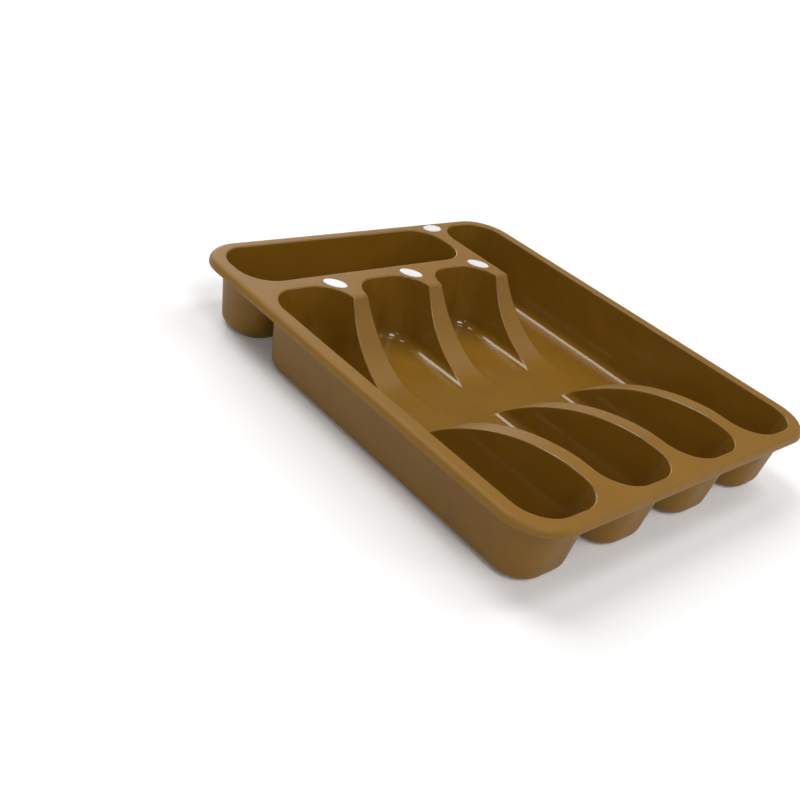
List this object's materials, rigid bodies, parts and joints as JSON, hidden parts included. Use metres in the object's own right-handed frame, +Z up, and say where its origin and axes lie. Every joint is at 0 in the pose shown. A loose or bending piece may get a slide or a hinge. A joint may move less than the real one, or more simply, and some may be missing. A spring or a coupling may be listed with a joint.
{
  "type": "cutlery tray",
  "caption": "Shallow drawer tray with drafted compartments, hollow dividers that dip to the floor, a rolled rim with a turned-down lip and oval snap-in markers, for sorting cutlery.",
  "frame": {"origin": "middle of the outline, on the surface that the tray stands on", "axes": "+Z up, +Y towards the short compartment across the back, +X towards the long compartment along one side"},
  "size_m": [0.265, 0.31, 0.0464],
  "materials": {
    "tray_plastic": "golden brown moulded plastic, satin on the rim and outside, glossy inside the compartments",
    "marker_plastic": "plain white moulded plastic, semi-gloss"
  },
  "bodies": {
    "root": {"tray": "tray_plastic", "marker_left": "marker_plastic", "marker_middle": "marker_plastic", "marker_right": "marker_plastic", "marker_rear": "marker_plastic"}
  },
  "joints": []
}
